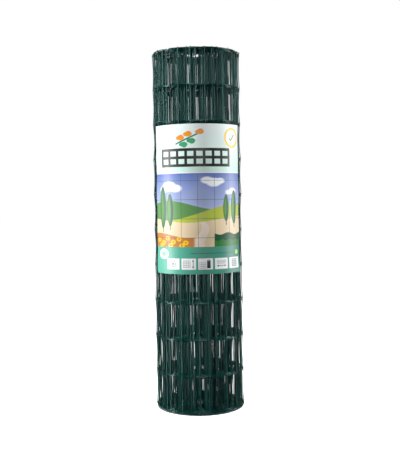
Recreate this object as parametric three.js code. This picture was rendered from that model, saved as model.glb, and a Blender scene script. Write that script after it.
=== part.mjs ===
import * as THREE from 'three';

// A roll of welded garden mesh that stands on its end, with a paper label round its front.
// Millimetres, +Z up. The origin is the centre of the roll's base, and the label faces -Y.

// The mesh, as it is made flat
const meshLength = 25000;
const openingHeight = 100;
const openingsHigh = 10;
const wireEndLength = 5;

// The mesh, as it is rolled up
const rollDiameter = 256;
const boreDiameter = 50;
const waistDepth = 3;
const bandHeight = 10;

// The turns that show on the two ends, as lands with a groove between each two
const turnsPerLand = 4;
const endGrooveDepth = 6;
const endGrooveWidth = 4;
const endCornerRadius = 1.5;

// The label
const labelWidth = 284;
const labelHeight = 410;
const labelThickness = 0.4;
const labelBottom = 386;
const labelClearance = 0.3;

// Facets
const rollFacets = 36;
const waistSteps = 4;
const labelFacets = 32;

const rollRadius = rollDiameter / 2;
const boreRadius = boreDiameter / 2;
const rollHeight = openingsHigh * openingHeight + 2 * wireEndLength;
const endAreaOfTurns = Math.PI * (rollRadius ** 2 - boreRadius ** 2);
const turnPitch = endAreaOfTurns / meshLength;
const turnCount = (rollRadius - boreRadius) / turnPitch;
const landCount = Math.max(1, Math.round(turnCount / turnsPerLand));

// One end, from the bore to the outside: flat lands at height 0 with V grooves rising between them.
// up is 1 for the base and -1 for the top, whose grooves go down.
function endProfile(level, up) {
  const outerRadius = rollRadius - endCornerRadius;
  const landPitch = (outerRadius - boreRadius) / landCount;
  const points = [new THREE.Vector2(boreRadius, level)];
  for (let land = 1; land < landCount; land += 1) {
    const grooveRadius = boreRadius + land * landPitch;
    points.push(new THREE.Vector2(grooveRadius - endGrooveWidth / 2, level));
    points.push(new THREE.Vector2(grooveRadius, level + up * endGrooveDepth));
    points.push(new THREE.Vector2(grooveRadius + endGrooveWidth / 2, level));
  }
  points.push(new THREE.Vector2(outerRadius, level));
  return points;
}

// The outside, from the base up: a band at each line wire, and a shallow waist between two bands.
function outsideProfile() {
  const points = [];
  for (let line = 0; line <= openingsHigh; line += 1) {
    const lineLevel = wireEndLength + line * openingHeight;
    const bandBottom = Math.max(lineLevel - bandHeight / 2, endCornerRadius);
    const bandTop = Math.min(lineLevel + bandHeight / 2, rollHeight - endCornerRadius);
    points.push(new THREE.Vector2(rollRadius, bandBottom));
    points.push(new THREE.Vector2(rollRadius, bandTop));
    if (line === openingsHigh) break;
    const waistHeight = openingHeight - bandHeight;
    for (let step = 1; step < waistSteps; step += 1) {
      const share = step / waistSteps;
      const depth = waistDepth * Math.sin(Math.PI * share);
      const level = lineLevel + bandHeight / 2 + share * waistHeight;
      points.push(new THREE.Vector2(rollRadius - depth, level));
    }
  }
  return points;
}

// The whole roll as one turned solid with its bore
function meshRollGeometry() {
  const profile = [
    ...endProfile(0, 1),
    ...outsideProfile(),
    ...endProfile(rollHeight, -1).reverse(),
  ];
  profile.push(profile[0].clone());
  return new THREE.LatheGeometry(profile, rollFacets).rotateX(Math.PI / 2);
}

// A thin sheet bent round the front of the roll, just outside the bands
function labelGeometry() {
  const innerRadius = rollRadius + labelClearance;
  const outerRadius = innerRadius + labelThickness;
  const halfAngle = labelWidth / outerRadius / 2;
  const front = -Math.PI / 2;
  const section = new THREE.Shape();
  section.absarc(0, 0, outerRadius, front - halfAngle, front + halfAngle, false);
  section.absarc(0, 0, innerRadius, front + halfAngle, front - halfAngle, true);
  section.closePath();
  return new THREE.ExtrudeGeometry(section, {
    depth: labelHeight,
    curveSegments: labelFacets,
    bevelEnabled: false,
  });
}

const coatedWire = new THREE.MeshStandardMaterial({
  color: 0x1c4038,
  roughness: 0.45,
  metalness: 0,
});
const printedPaper = new THREE.MeshStandardMaterial({
  color: 0xd9e4d6,
  roughness: 0.4,
  metalness: 0,
});

const meshRoll = new THREE.Mesh(meshRollGeometry(), coatedWire);
meshRoll.name = 'mesh_roll';

const label = new THREE.Mesh(labelGeometry(), printedPaper);
label.name = 'label';
label.position.z = labelBottom;

const gardenMesh = new THREE.Group();
gardenMesh.add(meshRoll, label);

export default gardenMesh;
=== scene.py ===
import math

import bpy
import numpy as np
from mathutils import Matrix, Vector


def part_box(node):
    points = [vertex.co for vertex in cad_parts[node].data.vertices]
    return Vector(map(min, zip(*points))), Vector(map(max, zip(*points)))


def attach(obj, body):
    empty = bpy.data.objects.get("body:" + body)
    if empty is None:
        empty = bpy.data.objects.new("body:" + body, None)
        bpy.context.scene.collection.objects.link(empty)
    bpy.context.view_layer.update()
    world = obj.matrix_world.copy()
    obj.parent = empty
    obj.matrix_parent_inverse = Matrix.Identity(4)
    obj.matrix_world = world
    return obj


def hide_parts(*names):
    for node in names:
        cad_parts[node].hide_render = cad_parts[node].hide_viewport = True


# A roll of welded garden mesh standing on its end, with a printed label round its front.
# Metres, +Z up, and the label faces -Y.

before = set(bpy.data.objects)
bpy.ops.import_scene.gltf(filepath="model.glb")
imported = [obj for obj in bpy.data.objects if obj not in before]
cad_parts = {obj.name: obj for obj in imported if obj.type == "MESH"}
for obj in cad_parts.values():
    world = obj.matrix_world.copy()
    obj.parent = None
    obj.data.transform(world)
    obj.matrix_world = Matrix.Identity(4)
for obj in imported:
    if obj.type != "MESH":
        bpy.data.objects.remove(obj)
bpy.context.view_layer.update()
rollLow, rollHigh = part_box("mesh_roll")
labelLow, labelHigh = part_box("label")
rollRadius = rollHigh[0]


# Helpers for objects

def deselectAll():
    bpy.ops.object.select_all(action="DESELECT")


def makeActive(piece):
    deselectAll()
    piece.select_set(True)
    bpy.context.view_layer.objects.active = piece


def applyModifier(piece, kind, **settings):
    makeActive(piece)
    modifier = piece.modifiers.new(kind.title(), kind)
    for name, value in settings.items():
        setattr(modifier, name, value)
    bpy.ops.object.modifier_apply(modifier=modifier.name)


def settle(piece, node, materials):
    piece.data.materials.clear()
    for material in materials:
        piece.data.materials.append(material)
    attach(piece, "root")
    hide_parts(node)


# Helpers for materials

def tone(red, green, blue):
    shares = [channel / 255 for channel in (red, green, blue)]
    linear = [
        share / 12.92 if share < 0.04045 else ((share + 0.055) / 1.055) ** 2.4
        for share in shares
    ]
    return (*linear, 1.0)


class Signal:
    def __init__(self, paint, socket):
        self.paint = paint
        self.socket = socket

    def maths(self, operation, first, second=None):
        sockets = {0: first} if second is None else {0: first, 1: second}
        return self.paint.node("ShaderNodeMath", {"operation": operation}, sockets)

    def __add__(self, other):
        return self.maths("ADD", self, other)

    def __radd__(self, other):
        return self.maths("ADD", other, self)

    def __sub__(self, other):
        return self.maths("SUBTRACT", self, other)

    def __rsub__(self, other):
        return self.maths("SUBTRACT", other, self)

    def __mul__(self, other):
        return self.maths("MULTIPLY", self, other)

    def __rmul__(self, other):
        return self.maths("MULTIPLY", other, self)

    def __truediv__(self, other):
        return self.maths("DIVIDE", self, other)

    def __pow__(self, other):
        return self.maths("POWER", self, other)

    def __mod__(self, other):
        return self.maths("FLOORED_MODULO", self, other)

    def __abs__(self):
        return self.maths("ABSOLUTE", self)

    def least(self, other):
        return self.maths("MINIMUM", self, other)

    def most(self, other):
        return self.maths("MAXIMUM", self, other)

    def sine(self):
        return self.maths("SINE", self)

    def clamped(self, factor, shift):
        settings = {"operation": "MULTIPLY_ADD", "use_clamp": True}
        return self.paint.node("ShaderNodeMath", settings, {0: self, 1: factor, 2: shift})


class Paint:
    def __init__(self, name):
        self.material = bpy.data.materials.new(name)
        self.material.use_nodes = True
        self.tree = self.material.node_tree
        self.tree.nodes.clear()

    def node(self, kind, settings=None, sockets=None, output=0):
        made = self.tree.nodes.new(kind)
        for name, value in (settings or {}).items():
            setattr(made, name, value)
        for name, value in (sockets or {}).items():
            if isinstance(value, Signal):
                self.tree.links.new(value.socket, made.inputs[name])
            else:
                made.inputs[name].default_value = value
        return Signal(self, made.outputs[output]) if made.outputs else None

    def mix(self, share, first, second):
        return self.node("ShaderNodeMix", {"data_type": "RGBA"}, {0: share, 6: first, 7: second}, 2)

    def ownPlace(self):
        return self.node("ShaderNodeTexCoord", output=3)

    def noise(self, place, scale, detail=2.0):
        return self.node("ShaderNodeTexNoise", {}, {"Vector": place, "Scale": scale, "Detail": detail})

    def finish(self, sockets):
        shader = self.node("ShaderNodeBsdfPrincipled", {}, sockets)
        self.node("ShaderNodeOutputMaterial", {}, {"Surface": shader})
        return self.material


# The camera, at the photograph's height and distance

cameraView = {
    "distance": 2.14,     # from the roll's axis
    "height": 0.588,
    "lens": 58.0,         # millimetres, on a 36 mm sensor
    "lean": 0.85,         # degrees that the camera is turned about its own line of sight
    "shiftAcross": 0.0048,
    "shiftUp": -0.0652,
}


def makeCamera():
    bpy.ops.object.camera_add(
        location=(0, -cameraView["distance"], cameraView["height"]),
        rotation=(math.radians(90), math.radians(cameraView["lean"]), 0),
    )
    camera = bpy.context.object
    camera.data.lens = cameraView["lens"]
    camera.data.sensor_width = 36
    camera.data.shift_x = cameraView["shiftAcross"]
    camera.data.shift_y = cameraView["shiftUp"]
    camera.data.clip_start = 0.02
    bpy.context.scene.camera = camera


deselectAll()
makeCamera()
print("camera placed")


# The welded mesh: line wires run round the roll, cross wires stand upright outside them

weldedMesh = {
    "wire": 0.0021,           # coated diameter
    "openingWidth": 0.075,
    "openingHeight": 0.1,
    "openingsHigh": 10,
    "turns": 49,
    "bore": 0.025,            # radius left open in the middle
    "outerPitch": 0.0013,     # from one turn to the next at the outside; further in they lie looser
    "slip": 0.0026,           # how far the turns slide up and down against each other
    "slipTurns": 2.5,         # turns from one slide up to the next
    "frontWire": -113.5,      # degrees round the roll of one cross wire of the outer turn
    "wiresToFront": 5,        # cross wires between the mesh's end at the back and that one
    "endPastWire": 0.010,
    "bow": 0.0034,            # how far the outer wires bow in between two line wires
    "bowTurns": 2.5,          # over about so many turns it gets less
    "bowInside": 0.2,         # the share of it that is left further in
    "lean": 0.0012,           # how far a cross wire leans round the roll over its height
    "aside": 0.0003,          # and how far it strays sideways between two line wires
    "dent": 0.00045,          # how far the outer turns are from round
    "dentTurns": 12,
    "weld": 0.94,             # from a line wire to a cross wire, in wire diameters
    "stray": 0.004,           # how far cross wires of the inner turns stand from even places
    "strayFrom": 0.9,         # turns from the outside at which they begin to stray
    "strayOver": 2,           # and in how many more they stray in full
    "straySeed": 2767,
    "drawSeed": 25,           # for the lean and the bow of each cross wire
    "crimpDepth": 0.0048,     # the small kink of a line wire in each opening
    "crimpWidth": 0.022,
    "longestStep": 0.016,     # between two points of a line wire
    "fineTurns": 5,           # outer turns made with rounder wires
}

draw = np.random.default_rng(weldedMesh["drawSeed"])
wire = weldedMesh["wire"]
levels = weldedMesh["openingsHigh"] + 1
firstLevel = (rollHigh[2] - weldedMesh["openingsHigh"] * weldedMesh["openingHeight"]) / 2
stubLength = firstLevel - weldedMesh["slip"]
outerLine = rollRadius - 1.5 * wire      # the cross wires stand outside it
windingDepth = outerLine - weldedMesh["bore"] - wire / 2
loosening = (windingDepth - weldedMesh["outerPitch"] * weldedMesh["turns"]) / weldedMesh["turns"] ** 2


def windingRadius(turn):
    return outerLine - weldedMesh["outerPitch"] * turn - loosening * turn ** 2


turnTable = np.linspace(0, weldedMesh["turns"], 20001)
turnStep = turnTable[1] - turnTable[0]
lengthTable = np.concatenate([[0], np.cumsum(2 * np.pi * windingRadius(turnTable[:-1]) * turnStep)])
meshLength = lengthTable[-1]


def turnAt(along):
    return np.interp(along, lengthTable, turnTable)


frontPlace = weldedMesh["endPastWire"] + weldedMesh["wiresToFront"] * weldedMesh["openingWidth"]
firstAngle = math.radians(weldedMesh["frontWire"]) - 2 * math.pi * turnAt(frontPlace)
lastPlace = meshLength - weldedMesh["endPastWire"]
wirePlaces = np.arange(weldedMesh["endPastWire"], lastPlace, weldedMesh["openingWidth"])
strayDraw = np.random.default_rng(weldedMesh["straySeed"])
strayPlaces = strayDraw.normal(0, weldedMesh["stray"], len(wirePlaces))
strayPlaces *= np.clip((turnAt(wirePlaces) - weldedMesh["strayFrom"]) / weldedMesh["strayOver"], 0, 1)


def angleAt(along):
    return firstAngle + 2 * np.pi * turnAt(along)


def slipAt(along):
    turn = turnAt(along)
    wave = 0.45 * np.sin(2 * np.pi * turn / weldedMesh["slipTurns"])
    wave += 0.2 * np.sin(2 * np.pi * 0.83 * turn + 1) + 0.35 * np.sin(2 * np.pi * 3.13 * turn)
    return weldedMesh["slip"] * wave


# The roll isn't quite round, and each level is a little different. Only ever inwards.
def dentAt(angle, level, turn):
    wave = np.sin(2 * angle + 1.7 * level) + 0.6 * np.sin(3 * angle - 2.3 * level + 0.7)
    return weldedMesh["dent"] * (1.6 + wave) * np.exp(-turn / weldedMesh["dentTurns"])


def crimpAt(along):
    inOpening = np.mod(along - weldedMesh["endPastWire"], weldedMesh["openingWidth"])
    fromMiddle = np.abs(inOpening - weldedMesh["openingWidth"] / 2)
    return -weldedMesh["crimpDepth"] * np.clip(1 - fromMiddle / (weldedMesh["crimpWidth"] / 2), 0, 1)


def linePath(level):
    opening = weldedMesh["openingWidth"]
    half = weldedMesh["crimpWidth"] / 2
    steps = []
    for place in np.arange(weldedMesh["endPastWire"] - opening, meshLength + opening, opening):
        middle = place + opening / 2
        corners = [place, middle - half, middle, middle + half, place + opening]
        for begin, end in zip(corners[:-1], corners[1:]):
            radius = windingRadius(turnAt(min(max(begin, 0), meshLength)))
            count = max(1, math.ceil((end - begin) / min(0.3 * radius, weldedMesh["longestStep"])))
            steps.extend(begin + (end - begin) * share / count for share in range(count))
    along = np.array([step for step in steps if 0 < step < meshLength])
    along = np.concatenate([[0], along, [meshLength]])
    turn = turnAt(along)
    angle = angleAt(along)
    radius = windingRadius(turn) - dentAt(angle, level, turn)
    crimp = crimpAt(along) * (-1 if level == 0 else 1)    # the lowest wire is crimped upwards
    height = firstLevel + level * weldedMesh["openingHeight"] + slipAt(along) + crimp
    return np.stack([radius * np.cos(angle), radius * np.sin(angle), height], axis=1)


def slideAt(lean, phase, level):
    return lean[0] * math.sin(0.55 * level + phase) + lean[1] * (level / levels - 0.5)


def crossPath(place, stray, stepsPerOpening):
    turn = turnAt(place)
    angle = angleAt(place)
    middleRadius = windingRadius(turn)
    weldRadius = middleRadius + weldedMesh["weld"] * wire
    lean = draw.uniform(-1, 1, 2) * weldedMesh["lean"]
    phase = draw.uniform(0, 2 * math.pi)
    points = []
    slip = slipAt(place)
    inside = weldedMesh["bowInside"]
    bowHere = weldedMesh["bow"] * (inside + (1 - inside) * math.exp(-turn / weldedMesh["bowTurns"]))
    for level in range(levels):
        height = firstLevel + level * weldedMesh["openingHeight"] + slip
        ringRadius = weldRadius - dentAt(angle, level, turn)
        nextRadius = weldRadius - dentAt(angle, level + 1, turn)
        slide = slideAt(lean, phase, level)
        bow = bowHere * draw.uniform(0.6, 1.2)
        aside = draw.normal(0, weldedMesh["aside"])
        if level == 0:
            points.append((ringRadius, slide, height - stubLength))
        points.append((ringRadius, slide, height))
        if level == levels - 1:
            points.append((ringRadius, slide, height + stubLength))
            break
        nextSlide = slideAt(lean, phase, level + 1)
        for step in range(1, stepsPerOpening):
            share = step / stepsPerOpening
            swell = math.sin(math.pi * share)
            points.append((
                ringRadius + (nextRadius - ringRadius) * share - bow * swell,
                slide + (nextSlide - slide) * share + aside * swell,
                height + share * weldedMesh["openingHeight"],
            ))
    radius, slide, height = np.array(points).T
    turned = angle + (slide + stray) / middleRadius
    return np.stack([radius * np.cos(turned), radius * np.sin(turned), height], axis=1)


def wirePiece(name, paths, roundness, material):
    deselectAll()
    curve = bpy.data.curves.new(name, "CURVE")
    curve.dimensions = "3D"
    curve.bevel_depth = wire / 2
    curve.bevel_resolution = roundness
    curve.use_fill_caps = True
    for path in paths:
        spline = curve.splines.new("POLY")
        spline.points.add(len(path) - 1)
        spline.points.foreach_set("co", np.column_stack([path, np.ones(len(path))]).ravel())
    piece = bpy.data.objects.new(name, curve)
    bpy.context.collection.objects.link(piece)
    makeActive(piece)
    bpy.ops.object.convert(target="MESH")
    piece = bpy.context.object
    bpy.ops.object.shade_smooth_by_angle(angle=math.radians(70))
    settle(piece, "mesh_roll", [material])


def coatedWireMaterial():
    paint = Paint("coated wire")
    place = paint.ownPlace()
    drawnOut = {0: place, 1: (1.0, 1.0, 0.012)}        # so that each upright wire has its own shade
    stretched = paint.node("ShaderNodeVectorMath", {"operation": "MULTIPLY"}, drawnOut)
    wireTone = paint.noise(stretched, 260.0, 1.0)
    grain = paint.noise(place, 420.0, 3.0)
    colour = paint.mix(wireTone.clamped(3.2, -1.1), tone(0, 30, 28), tone(4, 76, 68))
    bump = paint.node("ShaderNodeBump", {}, {"Strength": 0.12, "Distance": 0.0002, "Height": grain})
    return paint.finish({
        "Base Color": colour,
        "Roughness": grain.clamped(0.12, 0.16),
        "Normal": bump,
        "Specular IOR Level": 0.5,
        "Specular Tint": (0.62, 1.0, 0.98, 1.0),
    })


def makeMesh():
    material = coatedWireMaterial()
    fineEnd = np.interp(weldedMesh["fineTurns"], turnTable, lengthTable)
    for level in range(levels):
        wirePiece(f"line_wire_{level + 1:02d}", [linePath(level)], 1, material)
    places = list(zip(wirePlaces, strayPlaces))
    outer = [crossPath(place, stray, 6) for place, stray in places if place < fineEnd]
    inner = [crossPath(place, stray, 4) for place, stray in places if place >= fineEnd]
    wirePiece("cross_wires_outer", outer, 2, material)
    wirePiece("cross_wires_inner", inner, 1, material)
    print(f"mesh wound: {meshLength:.2f} m, {len(wirePlaces)} cross wires, {levels} line wires")


makeMesh()


# The label: a printed sheet bent round the front

labelSheet = {
    "width": 0.284,
    "height": labelHigh[2] - labelLow[2],
    "thickness": 0.0003,
    "columns": 72,
    "rows": 84,
    "sag": 0.0011,          # how far the paper sinks between two line wires
    "curl": 0.0035,         # how far the lower right corner stands off
    "curlReach": 0.045,
    "standOff": 0.0004,     # of the paper's middle from the outer wires
    "ripple": 0.00035,
}


def makeLabelSheet():
    deselectAll()
    width = labelSheet["width"]
    height = labelSheet["height"]
    bpy.ops.mesh.primitive_grid_add(
        x_subdivisions=labelSheet["columns"], y_subdivisions=labelSheet["rows"],
        size=1, calc_uvs=True, location=(0, 0, 0))
    sheet = bpy.context.object
    sheet.name = "label_sheet"
    radius = rollRadius + labelSheet["standOff"]
    opening = weldedMesh["openingHeight"]
    for vertex in sheet.data.vertices:
        across = vertex.co.x * width
        up = (vertex.co.y + 0.5) * height
        z = labelLow[2] + up
        inOpening = ((z - firstLevel) / opening) % 1
        angle = across / radius
        sag = labelSheet["sag"] * math.sin(math.pi * inOpening) ** 2
        ripple = labelSheet["ripple"] * math.sin(9 * angle + 14 * z) * math.sin(22 * z + 2 * angle)
        cornerDistance = math.hypot(width / 2 - across, up)
        curl = labelSheet["curl"] * max(0, 1 - cornerDistance / labelSheet["curlReach"]) ** 2
        place = radius - sag - labelSheet["ripple"] + ripple + curl
        vertex.co = (place * math.sin(angle), -place * math.cos(angle), z)
    applyModifier(sheet, "SOLIDIFY", thickness=labelSheet["thickness"], offset=0, material_offset=1)
    makeActive(sheet)
    bpy.ops.object.shade_smooth_by_angle(angle=math.radians(40))
    return sheet


# The print: a plain header, a garden scene behind drawn mesh and a band with pictograms.
# It is drawn 297 wide and 420 high from its lower left corner, and then fitted to the sheet.

labelPrint = {
    "wide": 297,
    "high": 420,
    "bandTop": 76,
    "pictureTop": 283,
    "boxes": 5,
    "boxBottom": 13,
    "boxHeight": 31,
    "boxWidth": 43,
    "boxPitch": 49,
    "firstBox": 49,
    "bleed": 5,              # how far the print runs past the sheet's edges
    "edge": 0.5,             # softness of a printed edge
}


class Drawing:
    def __init__(self, paint, x, y):
        self.paint = paint
        self.x = x
        self.y = y
        self.colour = (1.0, 1.0, 1.0, 1.0)

    def edge(self, inside, softness=None):
        return inside.clamped(1 / (softness or labelPrint["edge"]), 0.5)

    def box(self, left, bottom, right, top):
        across = abs(self.x - (left + right) / 2) - (right - left) / 2
        up = abs(self.y - (bottom + top) / 2) - (top - bottom) / 2
        return self.edge(0 - across.most(up))

    def oval(self, x, y, wide, high, softness=None):
        reach = (((self.x - x) / wide) ** 2 + ((self.y - y) / high) ** 2) ** 0.5
        return self.edge((1 - reach) * min(wide, high), softness)

    def ring(self, x, y, radius, width):
        reach = ((self.x - x) ** 2 + (self.y - y) ** 2) ** 0.5
        return self.edge(width / 2 - abs(reach - radius))

    def stroke(self, x0, y0, x1, y1, width):
        length = math.hypot(x1 - x0, y1 - y0)
        ux, uy = (x1 - x0) / length, (y1 - y0) / length
        along = abs((self.x - (x0 + x1) / 2) * ux + (self.y - (y0 + y1) / 2) * uy) - length / 2
        off = abs((self.x - x0) * uy - (self.y - y0) * ux) - width / 2
        return self.edge(0 - along.most(off))

    def arrow(self, x0, y0, x1, y1, width, head):
        length = math.hypot(x1 - x0, y1 - y0)
        ux, uy = (x1 - x0) / length, (y1 - y0) / length
        mask = self.stroke(x0, y0, x1, y1, width)
        for tipX, tipY, way in ((x0, y0, 1), (x1, y1, -1)):
            back = ((self.x - tipX) * ux + (self.y - tipY) * uy) * way
            off = abs((self.x - tipX) * uy - (self.y - tipY) * ux)
            mask = mask.most(self.edge((back * 0.6 - off).least(head - back)))
        return mask

    def grid(self, left, bottom, right, top, columns, rows, width):
        stepX = (right - left) / columns
        stepY = (top - bottom) / rows
        offX = abs((self.x - left + stepX / 2) % stepX - stepX / 2)
        offY = abs((self.y - bottom + stepY / 2) % stepY - stepY / 2)
        lines = self.edge(width / 2 - offX.least(offY))
        half = width / 2
        return lines * self.box(left - half, bottom - half, right + half, top + half)

    def lay(self, mask, colour):
        self.colour = self.paint.mix(mask, self.colour, colour)


def drawHeader(drawing):
    headerHeight = labelPrint["high"] - labelPrint["pictureTop"]
    fade = (drawing.y - labelPrint["pictureTop"]).clamped(1 / headerHeight, 0)
    drawing.colour = drawing.paint.mix(fade, tone(206, 239, 227), tone(235, 245, 245))
    # a sprig of leaves
    drawing.lay(drawing.stroke(84, 364, 156, 394, 4), tone(24, 120, 96))
    for x, y, side in ((98, 381, 1), (121, 391, 1), (108, 363, -1), (131, 373, -1), (156, 397, 1)):
        leaf = drawing.oval(x, y, 13, 6.5).most(drawing.oval(x + 3, y + side, 9, 8))
        drawing.lay(leaf, tone(240, 150, 40) if side > 0 else tone(60, 160, 110))
    # a bold strip of drawn mesh
    drawing.lay(drawing.grid(36, 304, 248, 348, 8, 2, 8), tone(24, 28, 26))
    # a round badge
    drawing.lay(drawing.oval(262, 382, 29, 29), tone(252, 250, 236))
    drawing.lay(drawing.ring(262, 382, 26, 6), tone(250, 200, 40))
    drawing.lay(drawing.stroke(252, 381, 259, 373, 3.4), tone(40, 120, 90))
    drawing.lay(drawing.stroke(258.5, 373, 273, 392, 3.4), tone(40, 120, 90))


def drawPicture(drawing):
    x = drawing.x
    y = drawing.y
    base = labelPrint["bandTop"]
    top = labelPrint["pictureTop"]
    wide = labelPrint["wide"]
    bleed = labelPrint["bleed"]
    whole = drawing.colour
    skyFade = (y - 180).clamped(1 / 100, 0)
    drawing.colour = drawing.paint.mix(skyFade, tone(181, 195, 235), tone(97, 119, 188))
    for cloudX, cloudY, size in ((58, 246, 17), (82, 240, 13), (40, 238, 11), (176, 262, 12),
                                 (196, 256, 15), (216, 260, 10), (262, 232, 10), (246, 228, 8)):
        drawing.lay(drawing.oval(cloudX, cloudY, size * 1.5, size * 0.8, 4), tone(246, 248, 252))
    ridge = (x * 0.021 + 0.4).sine() * 13 + 193
    drawing.lay(drawing.edge(ridge - y), tone(96, 150, 84))
    slope = (x * 0.014 - 2.2).sine() * 22 + 172
    drawing.lay(drawing.edge(slope - y), tone(186, 200, 72))
    field = (x * 0.018 + 2.6).sine() * 8 + 152
    drawing.lay(drawing.edge(field - y), tone(234, 212, 176))
    # a path that winds away
    pathMiddle = (y * 0.052 + 0.8).sine() * 20 + 168 - (y - 80) * 0.35
    halfWidth = (170 - y) * 0.16 + 4
    onField = drawing.edge(field - y)
    drawing.lay(drawing.edge(halfWidth - abs(x - pathMiddle)) * onField, tone(248, 232, 214))
    # slim trees
    trees = ((34, 128, 118, 13), (62, 134, 92, 11), (236, 146, 76, 10), (268, 138, 96, 12))
    for treeX, foot, high, spread in trees:
        drawing.lay(drawing.stroke(treeX, foot - 10, treeX, foot + 8, 3), tone(122, 58, 40))
        middle = foot + high / 2
        crown = drawing.oval(treeX, middle, spread, high / 2)
        drawing.lay(crown, tone(20, 92, 50))
        sunny = drawing.oval(treeX - spread * 0.3, middle, spread * 0.45, high * 0.38, 3)
        drawing.lay(sunny, tone(84, 146, 60))
    # a flower bed and a hedge
    bed = (x * 0.03 + 1.0).sine() * 7 + 108
    drawing.lay(drawing.edge(bed - y) * drawing.edge(138 - x, 8), tone(200, 128, 62))
    flowers = ((14, 96), (34, 88), (52, 100), (72, 90), (92, 98),
               (112, 88), (24, 80), (62, 80), (100, 80))
    for flowerX, flowerY in flowers:
        drawing.lay(drawing.oval(flowerX, flowerY, 8.5, 6.5), tone(250, 204, 36))
        drawing.lay(drawing.oval(flowerX, flowerY, 2.8, 2.2), tone(226, 120, 30))
    hedge = (x * 0.11).sine() * 3 + 112
    drawing.lay(drawing.edge(hedge - y) * drawing.edge(x - 196), tone(8, 84, 44))
    hedgeLight = (x * 0.23 + 1).sine() * 2 + 94
    drawing.lay(drawing.edge(hedgeLight - y) * drawing.edge(x - 196), tone(46, 124, 56))
    # drawn mesh in front
    drawing.lay(drawing.grid(0, base - 28, wide, top + 32, 6, 5, 1.0), tone(30, 92, 78))
    picture = drawing.colour
    drawing.colour = whole
    drawing.lay(drawing.box(-bleed, base, wide + bleed, top), picture)
    drawing.lay(drawing.box(-bleed, top - 1, wide + bleed, top + 1.4), tone(250, 250, 246))


def drawBand(drawing):
    top = labelPrint["bandTop"]
    wide = labelPrint["wide"]
    bleed = labelPrint["bleed"]
    fade = drawing.x.clamped(1 / wide, 0)
    teal = drawing.paint.mix(fade, tone(92, 188, 162), tone(52, 128, 110))
    drawing.lay(drawing.box(-bleed, -bleed, wide + bleed, top), teal)
    drawing.lay(drawing.oval(34, 56, 20, 15), tone(248, 250, 248))
    drawing.lay(drawing.oval(34, 56, 11, 6.5), tone(150, 200, 178))
    drawing.lay(drawing.stroke(126, 58, 270, 58, 2.2), tone(44, 120, 100))
    drawing.lay(drawing.oval(280, 58, 7, 7), tone(190, 226, 120))
    dark = tone(38, 52, 50)
    grey = tone(150, 156, 158)
    bottom = labelPrint["boxBottom"]
    high = labelPrint["boxHeight"]
    middle = bottom + high / 2
    centre = []
    for number in range(labelPrint["boxes"]):
        left = labelPrint["firstBox"] + number * labelPrint["boxPitch"]
        right = left + labelPrint["boxWidth"]
        centre.append((left + right) / 2)
        drawing.lay(drawing.box(left, bottom, right, bottom + high), tone(244, 246, 246))
    # a wire's round section
    drawing.lay(drawing.ring(centre[0], middle, 8, 2), grey)
    drawing.lay(drawing.oval(centre[0], middle, 3.6, 3.6), grey)
    # the height
    drawing.lay(drawing.grid(centre[1] - 16, middle - 9, centre[1] + 4, middle + 9, 4, 3, 1.2), grey)
    drawing.lay(drawing.arrow(centre[1] + 13, middle - 12, centre[1] + 13, middle + 12, 1.4, 5), dark)
    # the roll
    drawing.lay(drawing.box(centre[2] + 4, middle - 12, centre[2] + 14, middle + 10), dark)
    drawing.lay(drawing.oval(centre[2] + 9, middle + 10, 5, 2.4), grey)
    drawing.lay(drawing.grid(centre[2] - 17, middle - 12, centre[2] + 1, middle + 4, 3, 3, 1.0), grey)
    # the length
    drawing.lay(drawing.arrow(centre[3] - 15, middle - 6, centre[3] + 15, middle - 6, 1.4, 5), dark)
    drawing.lay(drawing.grid(centre[3] - 14, middle, centre[3] + 14, middle + 9, 7, 2, 1.0), grey)
    # the openings
    openings = drawing.grid(centre[4] - 10, middle - 10, centre[4] + 10, middle + 10, 4, 4, 1.8)
    drawing.lay(openings, tone(96, 104, 110))


def printedPaperMaterial():
    paint = Paint("printed paper")
    uv = paint.node("ShaderNodeUVMap", {"uv_map": "UVMap"})
    across = paint.node("ShaderNodeSeparateXYZ", {}, {0: uv}, 0)
    up = paint.node("ShaderNodeSeparateXYZ", {}, {0: uv}, 1)
    drawing = Drawing(paint, across * labelPrint["wide"], up * labelPrint["high"])
    drawHeader(drawing)
    drawPicture(drawing)
    drawBand(drawing)
    place = paint.ownPlace()
    fibre = paint.noise(place, 900.0, 3.0)
    cockle = paint.noise(place, 26.0, 2.0)
    bump = paint.node("ShaderNodeBump", {}, {"Strength": 0.25, "Distance": 0.0012, "Height": cockle})
    return paint.finish({
        "Base Color": drawing.colour,
        "Roughness": fibre.clamped(0.12, 0.38),
        "Normal": bump,
        "Specular IOR Level": 0.5,
    })


def plainPaperMaterial():
    paint = Paint("plain paper")
    place = paint.ownPlace()
    fibre = paint.noise(place, 700.0, 4.0)
    colour = paint.mix(fibre, tone(222, 222, 216), tone(238, 238, 234))
    return paint.finish({"Base Color": colour, "Roughness": 0.7})


def makeLabel():
    sheet = makeLabelSheet()
    settle(sheet, "label", [printedPaperMaterial(), plainPaperMaterial()])
    print("label made")


makeLabel()


# Floor and light

studio = {
    "floorSize": 40,
    "backdrop": 0.22,         # what the backdrop behind the roll sheds on it
    "ambient": 0.03,          # from the front, where the room is dark
    "darkUpTo": -0.1,         # how far a ray points away from the camera
    "brightFrom": 0.7,
    "aim": (0, 0, 0.5),       # the middle of the roll, which all softboxes face
    "softboxes": [
        # name, place, wide, high, watts
        ("left softbox", (-2.1, -0.35, 0.6), 0.45, 2.4, 95),
        ("right softbox", (2.1, 0.1, 0.6), 0.4, 2.2, 58),
        ("front fill", (0.5, -3.4, 1.7), 0.5, 1.6, 42),
        ("overhead softbox", (0, -0.7, 2.8), 1.2, 0.8, 24),
    ],
}


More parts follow.
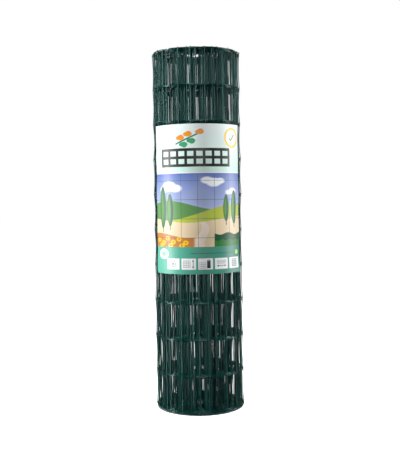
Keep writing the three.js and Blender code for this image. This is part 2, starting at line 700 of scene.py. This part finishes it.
def makeFloor():
    deselectAll()
    bpy.ops.mesh.primitive_plane_add(size=studio["floorSize"], location=(0, 0, -0.0003))
    floor = bpy.context.object
    floor.name = "floor"
    paint = Paint("pale floor")
    floor.data.materials.append(paint.finish({
        "Base Color": tone(250, 250, 250),
        "Roughness": 0.8,
        "Emission Color": (1, 1, 1, 1),
        "Emission Strength": 1,
    }))
    floor.visible_diffuse = False       # a light table that puts no light on the roll
    floor.visible_glossy = False
    # A grey disc under the roll: painted shade where the roll shadows the floor. It doesn't glow like
    # the floor round it, so the lamps and the roll's real shadow darken it too.
    deselectAll()
    bpy.ops.mesh.primitive_circle_add(
        vertices=96, radius=rollRadius - 2 * wire, fill_type="NGON", location=(0, 0, -0.0002))
    shade = bpy.context.object
    shade.name = "floor_under_roll_painted_shade"
    paint = Paint("grey floor with painted shade")
    shade.data.materials.append(paint.finish({"Base Color": tone(150, 160, 158), "Roughness": 0.8}))


def makeWorld():
    world = bpy.data.worlds.new("studio")
    world.use_nodes = True
    nodes = world.node_tree.nodes
    background = nodes["Background"]
    background.inputs["Color"].default_value = (1, 1, 1, 1)
    direction = nodes.new("ShaderNodeTexCoord")
    split = nodes.new("ShaderNodeSeparateXYZ")
    behind = nodes.new("ShaderNodeMapRange")
    behind.inputs["From Min"].default_value = studio["darkUpTo"]
    behind.inputs["From Max"].default_value = studio["brightFrom"]
    behind.inputs["To Min"].default_value = studio["ambient"]
    behind.inputs["To Max"].default_value = studio["backdrop"]
    rays = nodes.new("ShaderNodeLightPath")
    strength = nodes.new("ShaderNodeMath")
    strength.operation = "MAXIMUM"
    link = world.node_tree.links.new
    link(direction.outputs["Generated"], split.inputs["Vector"])
    link(split.outputs["Y"], behind.inputs["Value"])
    link(behind.outputs["Result"], strength.inputs[0])
    link(rays.outputs["Is Camera Ray"], strength.inputs[1])
    link(strength.outputs["Value"], background.inputs["Strength"])
    bpy.context.scene.world = world
    bpy.context.scene.view_settings.view_transform = "Standard"


def makeLights():
    for name, place, wide, high, watts in studio["softboxes"]:
        bpy.ops.object.light_add(type="AREA", location=place)
        light = bpy.context.object
        light.name = name
        light.data.shape = "RECTANGLE"
        light.data.size = wide
        light.data.size_y = high
        light.data.energy = watts
        aim = np.array(studio["aim"]) - np.array(place)
        tilt = math.atan2(math.hypot(aim[0], aim[1]), -aim[2])
        light.rotation_euler = (tilt, 0, math.atan2(aim[1], aim[0]) - math.pi / 2)


deselectAll()
makeFloor()
makeWorld()
makeLights()
print("studio lit")
